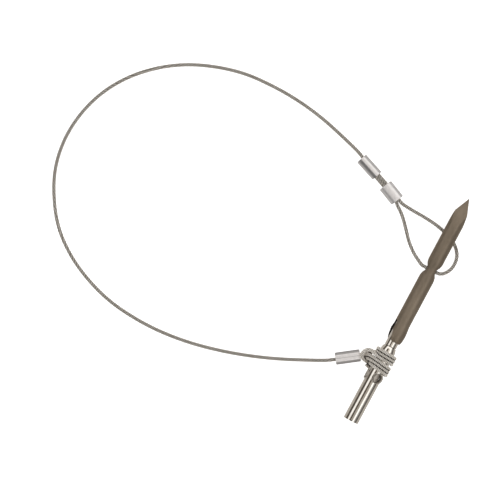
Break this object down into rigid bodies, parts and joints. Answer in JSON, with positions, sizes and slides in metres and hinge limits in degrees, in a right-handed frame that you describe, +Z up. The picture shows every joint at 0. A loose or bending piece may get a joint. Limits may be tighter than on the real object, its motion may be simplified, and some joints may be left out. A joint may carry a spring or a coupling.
{
  "type": "toggling spear tip with wire leader",
  "caption": "Toggling spear tip pushed onto the pin of a screw-on adapter, with a looped wire leader and pressed sleeves.",
  "frame": {"origin": "on the surface the part lies on, below the middle of the straight part from the adapter's open end to the point", "axes": "+Y along the shaft axis towards the point, +Z up from the surface, +X away from the leader"},
  "size_m": [0.2455, 0.1653, 0.0139],
  "materials": {
    "satin_head": "satin brown-grey stainless steel",
    "polished_adapter": "polished",
    "wire_rope": "stranded stainless wire rope",
    "pressed_sleeve": "plain, pressed"
  },
  "bodies": {
    "adapter": {"adapter_tube": "polished_adapter", "mandrel_pin": "polished_adapter", "hitch_coil": "wire_rope", "hitch_bridge": "wire_rope", "hitch_leg_lower": "wire_rope", "hitch_leg_upper": "wire_rope", "hitch_sleeve": "pressed_sleeve", "leader_cable": "wire_rope"},
    "head": {"head_body": "satin_head", "eye_loop": "wire_rope", "leader_head_end": "wire_rope", "splice_sleeve_long": "pressed_sleeve", "splice_sleeve_short": "pressed_sleeve"}
  },
  "joints": [
    {"name": "head_release", "type": "slide", "parent": "adapter", "child": "head", "axis": [0, 1, 0], "range_m": [0, 0.03]}
  ]
}
